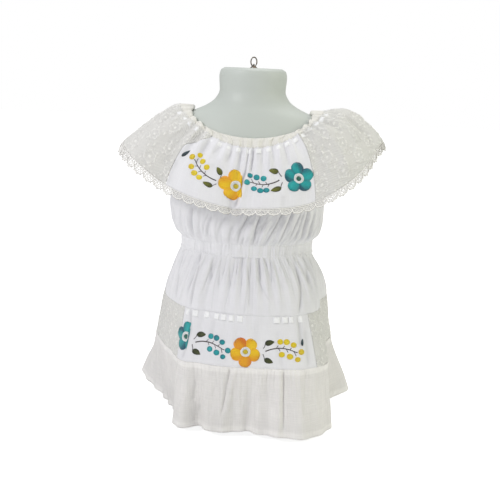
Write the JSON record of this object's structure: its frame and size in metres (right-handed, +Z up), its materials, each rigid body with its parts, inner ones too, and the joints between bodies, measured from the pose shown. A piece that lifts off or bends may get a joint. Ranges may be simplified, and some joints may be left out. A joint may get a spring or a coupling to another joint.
{
  "type": "campesina dress on a limbless child's dress form",
  "caption": "Child's white campesina dress with an off-shoulder ruffle, lace panels, flower embroidery and a tiered skirt, on a limbless dress form.",
  "frame": {"origin": "centre of the dress form's flat base, on the surface that it stands on", "axes": "+Z up through the neck, -Y towards the front of the dress, +X towards the wearer's left"},
  "size_m": [0.3435, 0.2516, 0.4667],
  "materials": {
    "white_cotton": "matte plain weave",
    "cotton_gauze": "matte crinkled open weave",
    "cream_lace": "matte corded lace",
    "crochet": "matte crocheted cotton thread",
    "neck_elastic": "matte gathered casing",
    "satin_ribbon": "satin",
    "form_plastic": "smooth satin",
    "eye_steel": "dull wire"
  },
  "bodies": {
    "root": {"form_torso": "form_plastic", "form_eye": "eye_steel", "neck_casing": "neck_elastic", "neck_ribbon": "satin_ribbon", "flounce_front": "white_cotton", "flounce_back": "white_cotton", "flounce_lace_left": "cream_lace", "flounce_lace_right": "cream_lace", "edging_front": "crochet", "edging_back": "crochet", "bodice_front": "white_cotton", "bodice_back": "white_cotton", "waist_casing": "white_cotton", "skirt_front": "white_cotton", "skirt_back": "white_cotton", "band_front": "white_cotton", "band_back": "white_cotton", "band_lace_left": "cream_lace", "band_lace_right": "cream_lace", "skirt_ribbon": "satin_ribbon", "hem_flounce_front": "cotton_gauze", "hem_flounce_back": "cotton_gauze"}
  },
  "joints": []
}
